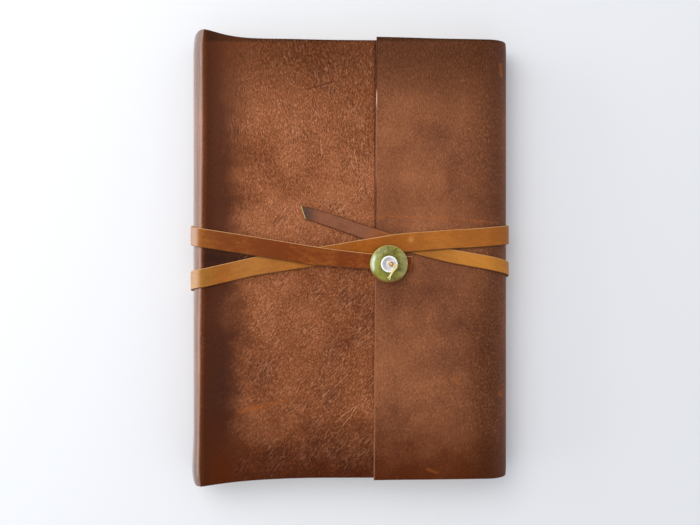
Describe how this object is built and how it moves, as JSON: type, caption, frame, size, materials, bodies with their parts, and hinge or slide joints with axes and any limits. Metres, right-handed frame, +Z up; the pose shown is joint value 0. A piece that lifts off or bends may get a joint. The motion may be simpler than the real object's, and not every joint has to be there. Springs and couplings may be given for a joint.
{
  "type": "leather photo album",
  "caption": "Wrap-around leather photo album lying closed, its flap held by a long strap wound round the book and anchored under a glazed button.",
  "frame": {"origin": "under the middle of the closed album, on the surface that it lies on", "axes": "+X from the spine to the fore-edge fold, +Y up the page, +Z up out of the front cover"},
  "size_m": [0.2286, 0.3198, 0.048],
  "materials": {
    "cover_leather": "glossy pull-up leather with fine wrinkles",
    "strap_leather": "tan oiled leather with pale cut edges",
    "glaze": "speckled olive green gloss glaze",
    "shell": "white pearly gloss",
    "amber_glass": "clear amber gloss",
    "waxed_thread": "waxed linen thread",
    "page_paper": "matt cream paper with cut edges",
    "endpaper": "matt cream card",
    "lining_cloth": "open-weave cotton mull"
  },
  "bodies": {
    "root": {"leather_cover": "cover_leather", "strap": "strap_leather", "ceramic_button": "glaze", "shell_button": "shell", "glass_bead": "amber_glass", "sewing_thread": "waxed_thread", "page_block": "page_paper", "front_endpaper": "endpaper", "back_endpaper": "endpaper", "spine_lining": "lining_cloth"}
  },
  "joints": []
}
